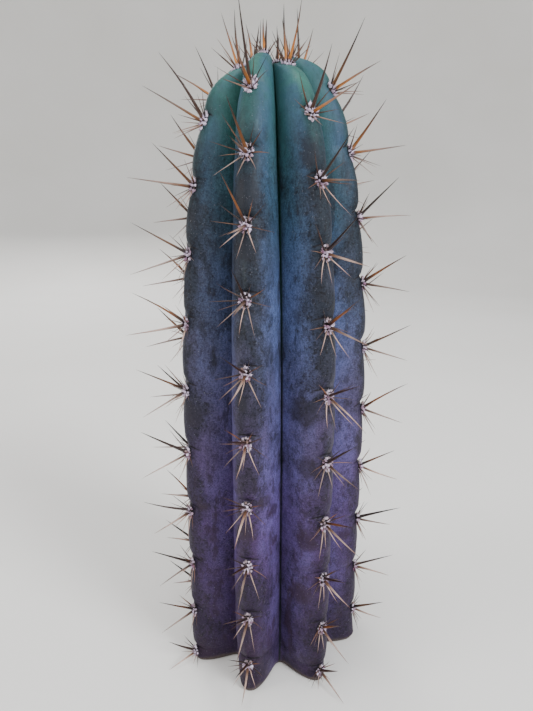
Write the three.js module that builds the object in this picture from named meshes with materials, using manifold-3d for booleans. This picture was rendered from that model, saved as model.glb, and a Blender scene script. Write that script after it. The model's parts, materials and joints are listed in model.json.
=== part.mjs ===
// A cutting of a columnar cactus: one blue-green ribbed stem with its spines, grown as one
// piece, which stands upright by itself on its flat cut end.
// Millimetres, +Z up. The origin is the middle of the cut face.

import * as THREE from 'three';
import { ConvexHull } from 'three/addons/math/ConvexHull.js';
import { mergeVertices } from 'three/addons/utils/BufferGeometryUtils.js';
import Module from 'manifold-3d';

const wasm = await Module();
wasm.setup();

// Stem. A station is a height along the stem, before the growing tip sinks into its pit.
const STEM_HEIGHT = 197;
const DOME_START = 84;
const CREST_RADIUS = 30.9;
const GROOVE_RADIUS = 19.4;
const CREST_DOME_POWER = 0.3;
const GROOVE_DOME_POWER = 0.5;
const CROWN_GROOVE_SINK = 7;
const TIP_PIT_DEPTH = 2.5;
const TIP_PIT_RADIUS = 3.5;

// Cut end: the ribs shrink a little towards the cut, and the edge is slightly rounded off.
const CUT_BEVEL = 1.2;
const CUT_INSET = 0.6;
const CUT_SHRINK_HEIGHT = 7;

// Ribs: the bearing of the crest, where 0 faces -Y and 90 faces +X, the stations of the lowest
// and highest areole, and how far the crest dips at the crown. Neighbouring ribs alternate.
const RIBS = [
  { bearing: -13.5, lowestAreole: 10.5, highestAreole: 196.8, dip: 0 },
  { bearing: 33, lowestAreole: 4, highestAreole: 195.8, dip: 3 },
  { bearing: 79.5, lowestAreole: 12, highestAreole: 196.8, dip: 0 },
  { bearing: 122, lowestAreole: 3.5, highestAreole: 195.8, dip: 2 },
  { bearing: 165, lowestAreole: 11, highestAreole: 196.8, dip: 0 },
  { bearing: 208, lowestAreole: 4.5, highestAreole: 195.8, dip: 2 },
  { bearing: 252, lowestAreole: 12, highestAreole: 196.8, dip: 0 },
  { bearing: 302, lowestAreole: 3, highestAreole: 195.6, dip: 3 },
];
const DIP_POWER = 12;
const CROWN_TWIST = -5;
const CROWN_TWIST_POWER = 3;
const RIB_FLANK_FALL = 0.4;
const CROWN_PLUMPNESS = 0.9;
const CROWN_PLUMPNESS_POWER = 3;
const PLUMPEST_EXPONENT = 0.4;
const ACROSS_STEPS = [-1, -0.62, -0.3, 0, 0.3, 0.62];

// Areoles, the woolly cushions that carry the spines, spaced by a pitch that is widest low
// on the stem and falls off towards both ends
const CROWN_CLEARANCE = 8;
const WIDEST_PITCH = 21;
const WIDEST_PITCH_STATION = 85;
const PITCH_FALL = 2.7;
const PITCH_FALL_SPAN = 70;
const CUSHION_RADIUS = 2.2;
const CUSHION_SINK = 0.35;

// Relief of the crest from one areole up to the next: a crease just above the areole,
// then a low swelling. Phases are shares of the way to the next areole.
const SWELL_HEIGHT = 0.7;
const CROWN_SWELL = 0.8;
const CROWN_SWELL_POWER = 4;
const CREASE_DEPTH = 0.8;
const CREASE_PHASE = 0.12;
const CREASE_WIDTH = 0.07;
const SWELL_PHASE = 0.55;
const RELIEF_FOCUS = 3;
const CROWN_PHASES = [0.78, 0.92];

// Spines, root to tip. Clock is the turn from straight up the rib, positive to the right as
// seen from outside, and splay is the angle away from the rib's surface normal, in degrees.
// The first two are the long central spines, and the others radiate round them.
const SPINES = [
  { clock: -8, splay: 32, length: 17, root: 0.52 },
  { clock: 172, splay: 13, length: 15.5, root: 0.5 },
  { clock: -48, splay: 62, length: 8.5, root: 0.42 },
  { clock: 56, splay: 62, length: 7, root: 0.38 },
  { clock: -92, splay: 68, length: 8, root: 0.38 },
  { clock: 104, splay: 68, length: 7, root: 0.38 },
  { clock: -142, splay: 62, length: 9.5, root: 0.42 },
  { clock: 152, splay: 62, length: 9.5, root: 0.42 },
];
const SPINE_JITTER = 10;
const LENGTH_JITTER = 0.17;
const OLDEST_LENGTH_SHARE = 0.6;

// Young growth near the crown: its spines gather into a tuft that stands up, and those within
// a few millimetres of the growing tip aren't fully grown
const YOUNG_FROM_STATION = 150;
const YOUNG_GATHER = 0.3;
const YOUNG_LIFT = 0.4;
const GROWN_AT_RADIUS = 12;
const LOWEST_TIP_HEIGHT = 0.8;

// Weights that mix the keys of a repeatable draw
const DRAW_WEIGHTS = [12.9898, 78.233, 37.719, 9.151];
const DRAW_SCALE = 43758.5453;

const RIB_COUNT = RIBS.length;
const FULL_TURN = 360;
const UP = new THREE.Vector3(0, 0, 1);

function clamp01(value) {
  return Math.min(1, Math.max(0, value));
}

// A repeatable draw from 0 to 1, by rib, areole, spine and what is drawn
function draw(...keys) {
  const mixed = Math.sin(keys.reduce((sum, key, i) => sum + key * DRAW_WEIGHTS[i], 0)) * DRAW_SCALE;
  return mixed - Math.floor(mixed);
}

// The share of the way up the dome, 0 below it and 1 at the growing tip
function domeRise(station) {
  return clamp01((station - DOME_START) / (STEM_HEIGHT - DOME_START));
}

function crestRadius(station) {
  return CREST_RADIUS * (1 - domeRise(station) ** 2) ** CREST_DOME_POWER;
}

function grooveRadius(station) {
  return GROOVE_RADIUS * (1 - domeRise(station) ** 2) ** GROOVE_DOME_POWER;
}

// Areole stations of one rib, from the cut end up to the crown
function areoleStations(rib) {
  const stations = [];
  let station = RIBS[rib].lowestAreole;
  while (station < RIBS[rib].highestAreole - CROWN_CLEARANCE) {
    stations.push(station);
    station += WIDEST_PITCH - PITCH_FALL * ((station - WIDEST_PITCH_STATION) / PITCH_FALL_SPAN) ** 2;
  }
  stations.push(RIBS[rib].highestAreole);
  return stations;
}

const AREOLES = RIBS.map((one, rib) => areoleStations(rib));

// How far up from one areole to the next a station is, from 0 to 1
function areolePhase(rib, station) {
  const stations = AREOLES[rib];
  const above = stations.findIndex((areole) => areole > station);
  if (above === 0) {
    return clamp01(1 - (stations[0] - station) / WIDEST_PITCH);
  }
  if (above < 0) {
    return clamp01((station - RIBS[rib].highestAreole) / WIDEST_PITCH);
  }
  return (station - stations[above - 1]) / (stations[above] - stations[above - 1]);
}

// What the crest gains or loses between two areoles. The young growth of the crown swells more
// and is creased less.
function crestRelief(rib, station) {
  const phase = areolePhase(rib, station);
  const youngest = domeRise(station) ** CROWN_SWELL_POWER;
  const swell = (SWELL_HEIGHT + CROWN_SWELL * youngest) * Math.sin(Math.PI * phase);
  const crease = CREASE_DEPTH * Math.exp(-(((phase - CREASE_PHASE) / CREASE_WIDTH) ** 2));
  return swell - crease * crestRadius(station) / CREST_RADIUS;
}

// A rib's cross-section: 1 on the crest and 0 in the grooves, where across is -1 and 1.
// Ribs are leanest at the cut end and plumpest at the crown.
function ribSection(across, station) {
  const rounded = (1 - across ** 2) * (1 - RIB_FLANK_FALL * across ** 2);
  const plumper = CROWN_PLUMPNESS * domeRise(station) ** CROWN_PLUMPNESS_POWER;
  const exponent = 1 + Math.exp(-station / CUT_SHRINK_HEIGHT) - plumper;
  return rounded ** Math.max(PLUMPEST_EXPONENT, exponent);
}

// Bearing in radians of a line that runs along a rib, a given share across it. The whole stem
// twists a little towards the crown.
function bearingAcross(rib, across, station) {
  const side = across < 0 ? -1 : 1;
  const neighbour = (rib + side + RIB_COUNT) % RIB_COUNT;
  const turn = side * (RIBS[neighbour].bearing - RIBS[rib].bearing);
  const halfGap = THREE.MathUtils.euclideanModulo(turn, FULL_TURN) / 2;
  const twist = CROWN_TWIST * domeRise(station) ** CROWN_TWIST_POWER;
  return THREE.MathUtils.degToRad(RIBS[rib].bearing + across * halfGap + twist);
}

// A point of the skin, a share across a rib and a station up the stem
function skinPoint(rib, across, station) {
  const section = ribSection(across, station);
  const groove = grooveRadius(station);
  const relief = crestRelief(rib, station) * (1 - across ** 2) ** RELIEF_FOCUS;
  const inset = CUT_INSET * clamp01(1 - station / CUT_BEVEL);
  const radius = groove + (crestRadius(station) - groove) * section + relief - inset;
  const rise = domeRise(station);
  const sink = CROWN_GROOVE_SINK * (1 - section) * rise ** 2 * Math.sqrt(1 - rise ** 2);
  const pit = rise > 0 ? TIP_PIT_DEPTH * Math.exp(-((radius / TIP_PIT_RADIUS) ** 2)) : 0;
  const dip = RIBS[rib].dip * section * rise ** DIP_POWER;
  const bearing = bearingAcross(rib, across, station);
  const height = station - sink - pit - dip;
  return new THREE.Vector3(radius * Math.sin(bearing), -radius * Math.cos(bearing), height);
}

// Stations of the mesh rows along one rib's crest: three for each areole, and more where the
// dome closes
function crestRows(rib) {
  const stations = AREOLES[rib];
  const rows = [0, CUT_BEVEL];
  stations.forEach((station, k) => {
    const span = k + 1 < stations.length ? stations[k + 1] - station : STEM_HEIGHT - station;
    const phases = [0, CREASE_PHASE, SWELL_PHASE, ...(k + 2 === stations.length ? CROWN_PHASES : [])];
    rows.push(...phases.map((phase) => station + phase * span));
  });
  return rows;
}

// The stem as a closed solid: rows of points round it, a flat cut face and the growing tip
function stemGeometry() {
  const rows = RIBS.map((one, rib) => crestRows(rib));
  const rowCount = rows[0].length;
  const columns = [];
  for (let rib = 0; rib < RIB_COUNT; rib += 1) {
    for (const across of ACROSS_STEPS) {
      columns.push({ rib, across });
    }
  }
  const positions = [];
  for (let row = 0; row < rowCount; row += 1) {
    for (const { rib, across } of columns) {
      const neighbour = (rib + (across < 0 ? -1 : 1) + RIB_COUNT) % RIB_COUNT;
      const lean = Math.abs(across) / 2;
      const station = rows[rib][row] * (1 - lean) + rows[neighbour][row] * lean;
      positions.push(...skinPoint(rib, across, station).toArray());
    }
  }
  const cutCentre = positions.length / 3;
  const tip = cutCentre + 1;
  positions.push(0, 0, 0);
  positions.push(0, 0, STEM_HEIGHT - TIP_PIT_DEPTH);

  const indices = [];
  const last = (rowCount - 1) * columns.length;
  for (let i = 0; i < columns.length; i += 1) {
    const next = (i + 1) % columns.length;
    for (let row = 0; row + 1 < rowCount; row += 1) {
      const low = row * columns.length;
      const high = low + columns.length;
      indices.push(low + i, low + next, high + next);
      indices.push(low + i, high + next, high + i);
    }
    indices.push(cutCentre, next, i);
    indices.push(tip, last + i, last + next);
  }
  const geometry = new THREE.BufferGeometry();
  geometry.setAttribute('position', new THREE.Float32BufferAttribute(positions, 3));
  geometry.setIndex(indices);
  return geometry;
}

// Where an areole sits and how it faces: outward, up along the crest, and to the right
function areoleFrame(rib, station) {
  const step = 0.5;
  const bearing = bearingAcross(rib, 0, station);
  const radial = new THREE.Vector3(Math.sin(bearing), -Math.cos(bearing), 0);
  const slope = (crestRadius(station + step) - crestRadius(station - step)) / (2 * step);
  const along = radial.clone().multiplyScalar(slope).add(UP).normalize();
  const right = new THREE.Vector3().crossVectors(UP, radial).normalize();
  const outward = new THREE.Vector3().crossVectors(right, along).normalize();
  const centre = skinPoint(rib, 0, station).addScaledVector(outward, -CUSHION_SINK);
  return { centre, outward, along, right };
}

// A direction from an areole, by its clock turn and its splay in degrees
function aim(frame, clock, splay) {
  const turn = THREE.MathUtils.degToRad(clock);
  const tilt = THREE.MathUtils.degToRad(splay);
  const direction = frame.outward.clone().multiplyScalar(Math.cos(tilt));
  direction.addScaledVector(frame.along, Math.sin(tilt) * Math.cos(turn));
  return direction.addScaledVector(frame.right, Math.sin(tilt) * Math.sin(turn));
}

// One spine from root to tip, gathered and lifted where the growth is young, clear of the ground
function spineReach(frame, spine, root, youth, lengthShare, draws) {
  const clock = spine.clock + (draws[0] - 0.5) * 2 * SPINE_JITTER;
  const splay = (spine.splay + (draws[1] - 0.5) * 2 * SPINE_JITTER) * (1 - YOUNG_GATHER * youth);
  const length = spine.length * lengthShare * (1 + (draws[2] - 0.5) * 2 * LENGTH_JITTER);
  const direction = aim(frame, clock, splay).addScaledVector(UP, YOUNG_LIFT * youth).normalize();
  const reach = direction.multiplyScalar(length);
  reach.z = Math.max(reach.z, LOWEST_TIP_HEIGHT - root.z);
  return reach;
}

// One areole: a faceted cushion whose small root facets are drawn out into three-sided spines
function areoleGeometry(rib, index, station) {
  const frame = areoleFrame(rib, station);
  const youth = clamp01((station - YOUNG_FROM_STATION) / (STEM_HEIGHT - YOUNG_FROM_STATION));
  const age = 1 - station / STEM_HEIGHT;
  const grown = Math.min(1, crestRadius(station) / GROWN_AT_RADIUS);
  const lengthShare = (1 - (1 - OLDEST_LENGTH_SHARE) * age ** 2) * grown;
  const points = [frame.centre.clone().addScaledVector(frame.outward, -CUSHION_RADIUS)];
  const spines = SPINES.map((spine, j) => {
    const draws = [0, 1, 2].map((channel) => draw(rib, index, j, channel));
    const facing = aim(frame, spine.clock, spine.splay);
    const root = frame.centre.clone().addScaledVector(facing, CUSHION_RADIUS);
    const reach = spineReach(frame, spine, root, youth, lengthShare, draws);
    const inward = frame.outward.clone().negate().projectOnPlane(facing).normalize();
    const corners = [0, 1, 2].map((corner) => {
      const offset = inward.clone().applyAxisAngle(facing, corner * 2 * Math.PI / 3);
      return root.clone().addScaledVector(offset, spine.root);
    });
    points.push(...corners);
    return { corners, tip: root.clone().add(reach) };
  });

  const positions = [];
  let drawnOut = 0;
  for (const face of new ConvexHull().setFromPoints(points).faces) {
    const corners = [face.edge.head().point, face.edge.next.head().point, face.edge.prev.head().point];
    const spine = spines.find((one) => corners.every((corner) => one.corners.includes(corner)));
    if (spine) {
      drawnOut += 1;
      for (let k = 0; k < 3; k += 1) {
        positions.push(...corners[k].toArray(), ...corners[(k + 1) % 3].toArray(), ...spine.tip.toArray());
      }
    } else {
      corners.forEach((corner) => positions.push(...corner.toArray()));
    }
  }
  if (drawnOut !== spines.length) {
    throw new Error(`rib ${rib} areole ${index}: spines stand too close together`);
  }
  const geometry = new THREE.BufferGeometry();
  geometry.setAttribute('position', new THREE.Float32BufferAttribute(positions, 3));
  return geometry;
}

function toSolid(geometry) {
  const merged = mergeVertices(geometry);
  const vertProperties = new Float32Array(merged.attributes.position.array);
  const triVerts = new Uint32Array(merged.index.array);
  return new wasm.Manifold(new wasm.Mesh({ numProp: 3, vertProperties, triVerts }));
}

function toGeometry(solid) {
  const mesh = solid.getMesh();
  const geometry = new THREE.BufferGeometry();
  geometry.setAttribute('position', new THREE.BufferAttribute(mesh.vertProperties, 3));
  geometry.setIndex(new THREE.BufferAttribute(mesh.triVerts, 1));
  return geometry;
}

// The whole cutting: every areole is fused to the stem that it grew from
function cuttingGeometry() {
  let cutting = toSolid(stemGeometry());
  AREOLES.forEach((stations, rib) => {
    let spines = toSolid(areoleGeometry(rib, 0, stations[0]));
    for (let index = 1; index < stations.length; index += 1) {
      spines = spines.add(toSolid(areoleGeometry(rib, index, stations[index])));
    }
    cutting = cutting.add(spines);
  });
  const geometry = toGeometry(cutting);
  geometry.computeVertexNormals();
  return geometry;
}

const skin = new THREE.MeshStandardMaterial({ color: 0x5f7d84, roughness: 0.62, metalness: 0 });
const cutting = new THREE.Mesh(cuttingGeometry(), skin);
cutting.name = 'cactus_cutting';

const model = new THREE.Group();
model.add(cutting);

export default model;
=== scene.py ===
"""The looks of a columnar cactus cutting that stands on its flat cut end.

The skin, the spines and the wool follow the same rules as the solid that they stand for: the
stem's section and relief, the areoles' places and the repeatable draws. Sizes in the tables are
millimetres and degrees, and every mesh is made in metres, in the solid's own frame.
"""
import json
import math
import random

import bmesh
import bpy
import numpy as np
from mathutils import Matrix, Vector, noise

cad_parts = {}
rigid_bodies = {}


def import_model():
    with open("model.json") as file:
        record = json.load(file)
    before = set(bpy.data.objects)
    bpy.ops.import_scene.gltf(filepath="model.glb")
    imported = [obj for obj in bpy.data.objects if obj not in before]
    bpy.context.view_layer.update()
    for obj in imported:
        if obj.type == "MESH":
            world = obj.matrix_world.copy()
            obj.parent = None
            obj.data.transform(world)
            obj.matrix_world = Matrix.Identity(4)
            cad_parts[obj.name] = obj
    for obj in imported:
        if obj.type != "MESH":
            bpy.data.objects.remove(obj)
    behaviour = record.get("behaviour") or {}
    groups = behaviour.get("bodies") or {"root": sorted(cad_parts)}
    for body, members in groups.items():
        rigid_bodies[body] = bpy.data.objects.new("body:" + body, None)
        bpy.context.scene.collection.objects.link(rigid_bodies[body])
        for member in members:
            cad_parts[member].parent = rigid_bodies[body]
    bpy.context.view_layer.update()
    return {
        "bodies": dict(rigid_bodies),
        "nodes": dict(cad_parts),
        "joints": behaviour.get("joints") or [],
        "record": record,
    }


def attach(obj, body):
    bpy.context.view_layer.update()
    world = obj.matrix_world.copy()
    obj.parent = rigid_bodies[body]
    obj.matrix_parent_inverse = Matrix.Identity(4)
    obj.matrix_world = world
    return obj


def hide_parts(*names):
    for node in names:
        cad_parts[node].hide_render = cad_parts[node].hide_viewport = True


MM = 0.001
NODE = "cactus_cutting"

# Stem, as the solid has it
STEM_HEIGHT = 197
DOME_START = 84
CREST_RADIUS = 30.9
GROOVE_RADIUS = 19.4
CREST_DOME_POWER = 0.3
GROOVE_DOME_POWER = 0.5
CROWN_GROOVE_SINK = 7
TIP_PIT_DEPTH = 2.5
TIP_PIT_RADIUS = 3.5
CUT_BEVEL = 1.2
CUT_INSET = 0.6
CUT_SHRINK_HEIGHT = 7
RIB_BEARINGS = [-13.5, 33, 79.5, 122, 165, 208, 252, 302]
LOWEST_AREOLES = [10.5, 4, 12, 3.5, 11, 4.5, 12, 3]
HIGHEST_AREOLES = [196.8, 195.8, 196.8, 195.8, 196.8, 195.8, 196.8, 195.6]
CREST_DIPS = [0, 3, 0, 2, 0, 2, 0, 3]
DIP_POWER = 12
CROWN_TWIST = -5
CROWN_TWIST_POWER = 3
RIB_COUNT = len(RIB_BEARINGS)
RIB_FLANK_FALL = 0.4
HALF_RIB_WIDTH = 12
CROWN_PLUMPNESS = 0.9
CROWN_PLUMPNESS_POWER = 3
PLUMPEST_EXPONENT = 0.4

# Areoles
CROWN_CLEARANCE = 8
WIDEST_PITCH = 21
WIDEST_PITCH_STATION = 85
PITCH_FALL = 2.7
PITCH_FALL_SPAN = 70
CUSHION_RADIUS = 2.2
SLOPE_STEP = 0.5
CUSHION_SINK = 0.35

# Relief of the crest between two areoles, as the solid has it
SWELL_HEIGHT = 0.7
CROWN_SWELL = 0.8
CROWN_SWELL_POWER = 4
CREASE_DEPTH = 0.8
CREASE_PHASE = 0.12
CREASE_WIDTH = 0.07
RELIEF_FOCUS = 3

# Finer relief: the sharp fold in each crease, which droops and fades over the flanks
FOLD_DEPTH = 0.4
FOLD_HALF_WIDTH = 0.28
FOLD_REACH = 0.42
FOLD_DROOP = 1.1
FOLD_WEAKEST = 0.45
FOLD_KEY = 3
FOLD_CHANNEL = 5
UNDULATION = 0.22
UNDULATION_PER_METRE = 95
PUCKER = 0.06
PUCKER_PER_METRE = 420
STILL_FOOT = 3
SEAT_RADIUS = 3

# Spines: clock, splay, length, root radius and kind. The first eight are the solid's own, and
# the others are the smaller ones between them.
SPINES = [
    (-8, 32, 17, 0.48, "upper central"),
    (172, 13, 15.5, 0.44, "lower central"),
    (-48, 62, 8.5, 0.25, "upper"),
    (56, 62, 7, 0.21, "upper"),
    (-92, 68, 8, 0.2, "side"),
    (104, 68, 7, 0.19, "side"),
    (-142, 62, 9.5, 0.23, "lower"),
    (152, 62, 9.5, 0.23, "lower"),
    (26, 56, 6, 0.18, "upper"),
    (-118, 70, 6.5, 0.16, "side"),
    (-176, 66, 8, 0.19, "lower"),
]
SPINE_JITTER = 10
LENGTH_JITTER = 0.17
OLDEST_LENGTH_SHARE = 0.6
YOUNG_FROM_STATION = 150
YOUNG_GATHER = 0.3
YOUNG_LIFT = 0.4
GROWN_AT_RADIUS = 12
LOWEST_TIP_HEIGHT = 0.8
SPINE_SIDES = 7
SPINE_SHARES = [0, 0.05, 0.14, 0.3, 0.5, 0.7, 0.86, 0.96, 1]
SPINE_ROOT_REACH = 1.2
SPINE_TAPER_POWER = 0.8
ROOT_SWELL = 0.25
ROOT_SWELL_SHARE = 0.04
SPINE_BOW = 0.05
BOW_OFFSET = 0.3
THINNEST = 0.85
THICKNESS_RANGE = 0.3
DARKEST_SPINE = 0.45
SPINE_SHADE_RANGE = 0.9
BROWN_FROM = 0.35
BROWN_SPAN = 0.2

DRAW_WEIGHTS = [12.9898, 78.233, 37.719, 9.151]
DRAW_SCALE = 43758.5453

# Draws of a spine: turn, tilt, length, direction of the bow, size of the bow and thickness.
# The direction's draw also says how brown it is, and the bow's how light its colours are.
SPINE_CHANNELS = 6
UP = Vector((0, 0, 1))


def srgb(red, green, blue):
    """A screen colour, 0 to 255 each, as linear light."""
    def linear(value):
        share = value / 255
        return share / 12.92 if share <= 0.04045 else ((share + 0.055) / 1.055) ** 2.4

    return (linear(red), linear(green), linear(blue), 1)


def clamp01(value):
    return np.clip(value, 0, 1)


def blend(first, second, share):
    return [a * (1 - share) + b * share for a, b in zip(first, second)]


def draw(*keys):
    """A repeatable draw from 0 to 1, the same as the solid's."""
    mixed = math.sin(sum(key * weight for key, weight in zip(keys, DRAW_WEIGHTS))) * DRAW_SCALE
    return mixed - math.floor(mixed)


# Stem formulas. A station is a height along the stem, before the crown's dips are taken off.

def dome_rise(station):
    """0 up to where the dome starts, rising to 1 at the tip."""
    return clamp01((station - DOME_START) / (STEM_HEIGHT - DOME_START))


def crest_radius(station):
    return CREST_RADIUS * (1 - dome_rise(station) ** 2) ** CREST_DOME_POWER


def groove_radius(station):
    return GROOVE_RADIUS * (1 - dome_rise(station) ** 2) ** GROOVE_DOME_POWER


def areole_stations(rib):
    """Stations of a rib's areoles, widest apart halfway up."""
    stations = []
    station = LOWEST_AREOLES[rib]
    while station < HIGHEST_AREOLES[rib] - CROWN_CLEARANCE:
        stations.append(station)
        away = (station - WIDEST_PITCH_STATION) / PITCH_FALL_SPAN
        station += WIDEST_PITCH - PITCH_FALL * away ** 2
    return stations + [HIGHEST_AREOLES[rib]]


AREOLES = [areole_stations(rib) for rib in range(RIB_COUNT)]


def phase_knots(rib):
    """Stations and phases that run from one areole up to the next, for interpolation."""
    stations = AREOLES[rib]
    return [stations[0] - WIDEST_PITCH] + stations + [stations[-1] + WIDEST_PITCH]


def areole_phase(rib, station):
    """The share of the way from one areole to the next, from 0 to 1."""
    knots = phase_knots(rib)
    return np.interp(station, knots, range(len(knots))) % 1


def crest_relief(rib, station):
    """The swelling between two areoles, less the crease above the lower one."""
    phase = areole_phase(rib, station)
    youngest = dome_rise(station) ** CROWN_SWELL_POWER
    swell = (SWELL_HEIGHT + CROWN_SWELL * youngest) * np.sin(np.pi * phase)
    crease = CREASE_DEPTH * np.exp(-(((phase - CREASE_PHASE) / CREASE_WIDTH) ** 2))
    return swell - crease * crest_radius(station) / CREST_RADIUS


def rib_section(across, station):
    """1 on the crest of a rib, falling to 0 in the groove beside it."""
    rounded = (1 - across ** 2) * (1 - RIB_FLANK_FALL * across ** 2)
    plumper = CROWN_PLUMPNESS * dome_rise(station) ** CROWN_PLUMPNESS_POWER
    exponent = 1 + np.exp(-station / CUT_SHRINK_HEIGHT) - plumper
    return rounded ** np.maximum(PLUMPEST_EXPONENT, exponent)


def neighbour_of(rib, across):
    """The rib on the other side of the groove."""
    return (rib + (-1 if across < 0 else 1)) % RIB_COUNT


def bearing_across(rib, across, station):
    """Radians round the stem at a share across a rib, from -1 to 1."""
    side = -1 if across < 0 else 1
    turn = side * (RIB_BEARINGS[neighbour_of(rib, across)] - RIB_BEARINGS[rib])
    half_gap = (turn % 360) / 2
    twist = CROWN_TWIST * dome_rise(station) ** CROWN_TWIST_POWER
    return np.radians(RIB_BEARINGS[rib] + across * half_gap + twist)


def fold(rib, across, station):
    """How deep the sharp fold in the crease is, from 0 to 1, on one line along the stem."""
    reach = abs(across) / FOLD_REACH
    if reach >= 1:
        return np.zeros_like(station)
    deepest = np.zeros_like(station)
    for index, areole in enumerate(AREOLES[rib][:-1]):
        span = AREOLES[rib][index + 1] - areole
        drawn = draw(rib, index, FOLD_KEY + (across > 0), FOLD_CHANNEL)
        strength = FOLD_WEAKEST + (1 - FOLD_WEAKEST) * drawn
        middle = areole + CREASE_PHASE * span - FOLD_DROOP * reach ** 2
        line = np.exp(-(((station - middle) / FOLD_HALF_WIDTH) ** 2))
        deepest = np.maximum(deepest, line * strength * (1 - reach ** 2))
    return deepest


def skin_line(rib, across, station):
    """Points in metres along the stem at one share across a rib, as an array of rows."""
    section = rib_section(across, station)
    groove = groove_radius(station)
    relief = crest_relief(rib, station) * (1 - across ** 2) ** RELIEF_FOCUS
    inset = CUT_INSET * clamp01(1 - station / CUT_BEVEL)
    radius = groove + (crest_radius(station) - groove) * section + relief - inset
    rise = dome_rise(station)
    sink = CROWN_GROOVE_SINK * (1 - section) * rise ** 2 * np.sqrt(1 - rise ** 2)
    pit = np.where(rise > 0, TIP_PIT_DEPTH * np.exp(-((radius / TIP_PIT_RADIUS) ** 2)), 0)
    dip = CREST_DIPS[rib] * section * rise ** DIP_POWER
    bearing = bearing_across(rib, across, station)
    height = station - sink - pit - dip
    return np.stack([radius * np.sin(bearing), -radius * np.cos(bearing), height], axis=1) * MM


# Stem mesh

STEM_FACTS = ["across", "crease", "patch", "bloom"]
COLUMNS_PER_FLANK = 23
SHARED_FROM = 0.5
AREOLE_ROWS = 3
FOLD_ROWS = 9
FOLD_ZONE = (0.07, 0.17)
OPEN_ROWS = 10
CLOSING_ROWS = 18
FOOT_ROWS = [0, 0.3, 0.7, 1.2, 1.8, 2.5]
FOOT_MARGIN = 0.4
TIP_ROWS = 14
FACE_RINGS = 10
FACE_HOLLOW = 0.7
FACE_HOLLOW_POWER = 4
FACE_EVEN = 0.7
FACE_UNEVEN = 0.5
FACE_UNEVEN_PER_METRE = 90
CALLUS_LIP = 0.22
CALLUS_LIP_HEIGHT = 1.7
CALLUS_LIP_WIDTH = 0.7
CALLUS_LIP_EVEN = 0.6
CALLUS_LIP_PER_METRE = 300
TILT_POWER = 6


def crest_rows(rib):
    """Stations of the mesh rows along one crest, closest together at each fold."""
    stations = AREOLES[rib]
    low, high = FOLD_ZONE
    creased = [*np.linspace(0, low, AREOLE_ROWS, endpoint=False),
               *np.linspace(low, high, FOLD_ROWS, endpoint=False)]
    open_share = np.linspace(0, 1, OPEN_ROWS, endpoint=False)
    closing_share = 1 - (1 - np.linspace(0, 1, CLOSING_ROWS, endpoint=False)) ** 2
    rows = list(np.array(FOOT_ROWS) * min(1, stations[0] / (FOOT_ROWS[-1] + FOOT_MARGIN)))
    for station, above in zip(stations, stations[1:]):
        shares = closing_share if above == stations[-1] else open_share
        phases = [*creased, *(high + (1 - high) * shares)]
        rows += [station + phase * (above - station) for phase in phases]
    # The last stretch is even in radius, because the dome closes there.
    start = crest_radius(stations[-1])
    for k in range(TIP_ROWS):
        share = start * (1 - k / TIP_ROWS) / CREST_RADIUS
        rise = math.sqrt(1 - share ** (1 / CREST_DOME_POWER))
        rows.append(DOME_START + rise * (STEM_HEIGHT - DOME_START))
    return np.array(rows)


def stem_columns():
    """(rib, across) for each line of points round the stem, closest together in the grooves."""
    columns = []
    for rib in range(RIB_COUNT):
        for step in range(-COLUMNS_PER_FLANK, COLUMNS_PER_FLANK):
            columns.append((rib, math.sin(math.pi / 2 * step / COLUMNS_PER_FLANK)))
    return columns


def smooth_step(value):
    share = clamp01(value)
    return share * share * (3 - 2 * share)


def column_stations(rows, rib, across):
    """Row stations of one line: the rib's own over its middle, and shared halfway in the groove."""
    lean = 0.5 * smooth_step((abs(across) - SHARED_FROM) / (1 - SHARED_FROM))
    return rows[rib] * (1 - lean) + rows[neighbour_of(rib, across)] * lean


def areole_nearness(rib, across, station):
    """1 at an areole and falling to 0 within a few millimetres, so that roots stay seated."""
    away_across = across * HALF_RIB_WIDTH
    nearest = np.min([np.abs(station - areole) for areole in AREOLES[rib]], axis=0)
    return np.exp(-(nearest ** 2 + away_across ** 2) / SEAT_RADIUS ** 2)


def build_stem():
    """The grid of skin points, and what the material needs to know at each of them."""
    rows = [crest_rows(rib) for rib in range(RIB_COUNT)]
    columns = stem_columns()
    row_count = len(rows[0])
    grid = np.zeros((row_count, len(columns), 3))
    facts = {name: np.zeros((row_count, len(columns))) for name in STEM_FACTS}
    for column, (rib, across) in enumerate(columns):
        station = column_stations(rows, rib, across)
        points = skin_line(rib, across, station)
        folded = fold(rib, across, station)
        near = areole_nearness(rib, across, station)
        bearing = bearing_across(rib, across, station)
        outward = np.stack([np.sin(bearing), -np.cos(bearing), np.zeros_like(bearing)], axis=1)
        tilt = dome_rise(station) ** TILT_POWER
        lip = CALLUS_LIP * np.exp(-(((station - CALLUS_LIP_HEIGHT) / CALLUS_LIP_WIDTH) ** 2))
        for row in range(row_count):
            place = Vector(points[row])
            wave = UNDULATION * noise.noise(place * UNDULATION_PER_METRE)
            pucker = PUCKER * noise.noise(place * PUCKER_PER_METRE)
            lift = (wave + pucker) * (1 - near[row]) * min(1, station[row] / STILL_FOOT)
            swollen = CALLUS_LIP_EVEN + noise.noise(place * CALLUS_LIP_PER_METRE)
            lift += lip[row] * swollen - FOLD_DEPTH * folded[row]
            direction = outward[row] * (1 - tilt[row]) + np.array([0, 0, 1]) * tilt[row]
            points[row] += direction * lift * MM
        grid[:, column] = points
        facts["across"][:, column] = abs(across)
        facts["crease"][:, column] = folded
        facts["patch"][:, column] = patches(rib, across, station)
        facts["bloom"][:, column] = BLOOM_SHARES[rib][0 if across < 0 else 1]
    grid[:, :, 2] = np.maximum(grid[:, :, 2], 0)
    return grid, facts


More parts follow.
